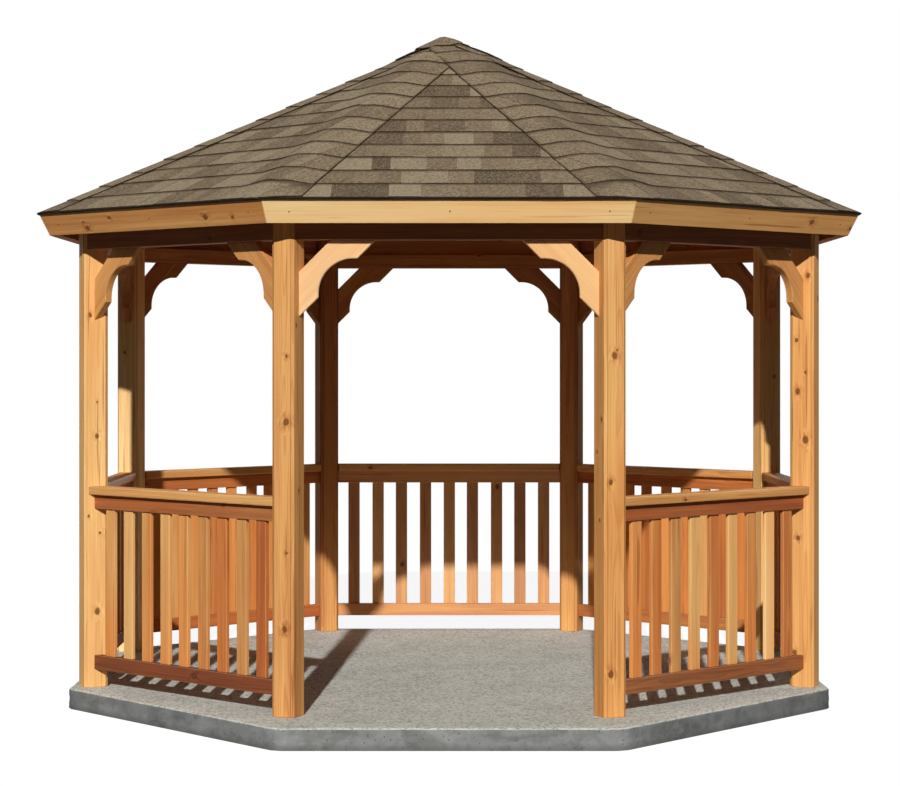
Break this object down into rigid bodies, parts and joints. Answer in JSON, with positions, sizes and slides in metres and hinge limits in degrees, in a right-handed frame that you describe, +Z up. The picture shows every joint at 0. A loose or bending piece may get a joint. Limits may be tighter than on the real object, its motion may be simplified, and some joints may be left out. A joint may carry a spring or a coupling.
{
  "type": "garden gazebo",
  "caption": "Open octagonal garden gazebo of chamfered cedar posts, railed bays, scalloped knee braces and a shingled pyramid roof, with one open entrance bay, on a concrete pad.",
  "frame": {"origin": "on the ground under the centre of the ring of posts", "axes": "+Z up; the open entrance bay faces -Y; +X to the right seen from the entrance"},
  "size_m": [3.7308, 3.8422, 3.1386],
  "materials": {
    "concrete": "matte",
    "cedar_post": "matte",
    "cedar_header": "matte",
    "cedar_brace": "matte",
    "cedar_rail": "matte",
    "cedar_cap": "matte",
    "cedar_rafter": "matte",
    "cedar_fascia": "matte",
    "shingle": "matte"
  },
  "bodies": {
    "root": {"concrete_pad": "concrete", "post_front_right": "cedar_post", "post_right_front": "cedar_post", "post_right_back": "cedar_post", "post_back_right": "cedar_post", "post_back_left": "cedar_post", "post_left_back": "cedar_post", "post_left_front": "cedar_post", "post_front_left": "cedar_post", "header_front": "cedar_header", "header_front_right": "cedar_header", "header_right": "cedar_header", "header_back_right": "cedar_header", "header_back": "cedar_header", "header_back_left": "cedar_header", "header_left": "cedar_header", "header_front_left": "cedar_header", "ledgers": "cedar_header", "knee_braces": "cedar_brace", "rail_front_right": "cedar_rail", "rail_right": "cedar_rail", "rail_back_right": "cedar_rail", "rail_back": "cedar_rail", "rail_back_left": "cedar_rail", "rail_left": "cedar_rail", "rail_front_left": "cedar_rail", "rail_caps": "cedar_cap", "rafters": "cedar_rafter", "roof_hub": "cedar_rafter", "fascia_front": "cedar_fascia", "fascia_front_right": "cedar_fascia", "fascia_right": "cedar_fascia", "fascia_back_right": "cedar_fascia", "fascia_back": "cedar_fascia", "fascia_back_left": "cedar_fascia", "fascia_left": "cedar_fascia", "fascia_front_left": "cedar_fascia", "roof_front": "shingle", "roof_front_right": "shingle", "roof_right": "shingle", "roof_back_right": "shingle", "roof_back": "shingle", "roof_back_left": "shingle", "roof_left": "shingle", "roof_front_left": "shingle", "apex_cap": "shingle"}
  },
  "joints": []
}
